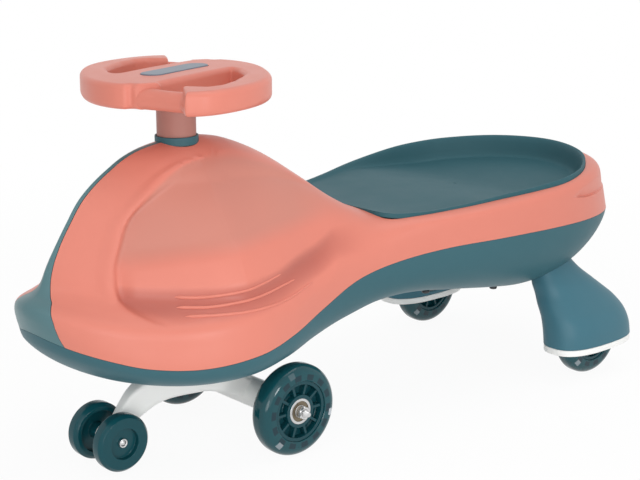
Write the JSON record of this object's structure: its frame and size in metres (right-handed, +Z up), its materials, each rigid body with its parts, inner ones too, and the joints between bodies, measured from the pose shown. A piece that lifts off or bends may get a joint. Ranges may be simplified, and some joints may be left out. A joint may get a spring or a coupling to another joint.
{
  "type": "wiggle car",
  "caption": "Ride-on wiggle car: a low moulded body with a dished seat, a two-hooked steering wheel that turns a front truck, guide wheels and hooded rear wheels.",
  "frame": {"origin": "on the floor under the middle of the body's length and width", "axes": "+X to the nose, +Y to the rider's left, +Z up"},
  "size_m": [0.812, 0.352, 0.405],
  "materials": {
    "coral_plastic": "satin moulded polypropylene",
    "teal_plastic": "satin moulded polypropylene",
    "wheel_polyurethane": "clear dark teal cast polyurethane",
    "wheel_plastic": "gloss moulded plastic",
    "white_plastic": "satin moulded plastic",
    "plate_plastic": "matte plate",
    "nylon": "plain nylon",
    "steel": "zinc plated"
  },
  "bodies": {
    "chassis": {"lower_shell": "teal_plastic", "top_cover": "coral_plastic", "nose_panel": "teal_plastic", "seat_pan": "teal_plastic", "collar_ring": "teal_plastic", "upper_bush": "nylon", "lower_bush": "nylon", "hood_screws": "steel", "seat_screws": "steel", "rear_left_pod": "teal_plastic", "rear_right_pod": "teal_plastic", "rear_left_carrier": "white_plastic", "rear_right_carrier": "white_plastic", "rear_left_axle": "steel", "rear_right_axle": "steel", "rear_left_nut": "steel", "rear_right_nut": "steel"},
    "steering": {"steering_wheel": "coral_plastic", "badge_plate": "plate_plastic", "column_sleeve": "coral_plastic", "steering_shaft": "steel", "shaft_insert": "steel", "steering_bolt": "steel", "truck": "white_plastic", "truck_pin": "steel", "front_axle": "steel", "front_washers": "steel", "front_nuts": "steel", "guide_axle": "steel", "guide_caps": "steel"},
    "front_left": {"front_left_tyre": "wheel_polyurethane", "front_left_hub": "wheel_plastic", "front_left_bearings": "steel", "front_left_spacer": "steel"},
    "front_right": {"front_right_tyre": "wheel_polyurethane", "front_right_hub": "wheel_plastic", "front_right_bearings": "steel", "front_right_spacer": "steel"},
    "rear_left": {"rear_left_tyre": "wheel_polyurethane", "rear_left_hub": "wheel_plastic", "rear_left_bearings": "steel", "rear_left_spacer": "steel"},
    "rear_right": {"rear_right_tyre": "wheel_polyurethane", "rear_right_hub": "wheel_plastic", "rear_right_bearings": "steel", "rear_right_spacer": "steel"},
    "guide_left": {"guide_left_wheel": "wheel_plastic"},
    "guide_right": {"guide_right_wheel": "wheel_plastic"}
  },
  "joints": [
    {"name": "steering_turn", "type": "hinge", "parent": "chassis", "child": "steering", "pos_m": [0.219, 0, 0.2], "axis": [0, 0, 1], "continuous": true},
    {"name": "front_left_spin", "type": "hinge", "parent": "steering", "child": "front_left", "pos_m": [0.149, 0.1, 0.05], "axis": [0, 1, 0], "continuous": true},
    {"name": "guide_left_spin", "type": "hinge", "parent": "steering", "child": "guide_left", "pos_m": [0.315, 0.023, 0.0335], "axis": [0, 1, 0], "continuous": true},
    {"name": "rear_left_spin", "type": "hinge", "parent": "chassis", "child": "rear_left", "pos_m": [-0.291, 0.138, 0.05], "axis": [0, 1, 0], "continuous": true},
    {"name": "front_right_spin", "type": "hinge", "parent": "steering", "child": "front_right", "pos_m": [0.149, -0.1, 0.05], "axis": [0, 1, 0], "continuous": true},
    {"name": "guide_right_spin", "type": "hinge", "parent": "steering", "child": "guide_right", "pos_m": [0.315, -0.023, 0.0335], "axis": [0, 1, 0], "continuous": true},
    {"name": "rear_right_spin", "type": "hinge", "parent": "chassis", "child": "rear_right", "pos_m": [-0.291, -0.138, 0.05], "axis": [0, 1, 0], "continuous": true}
  ]
}
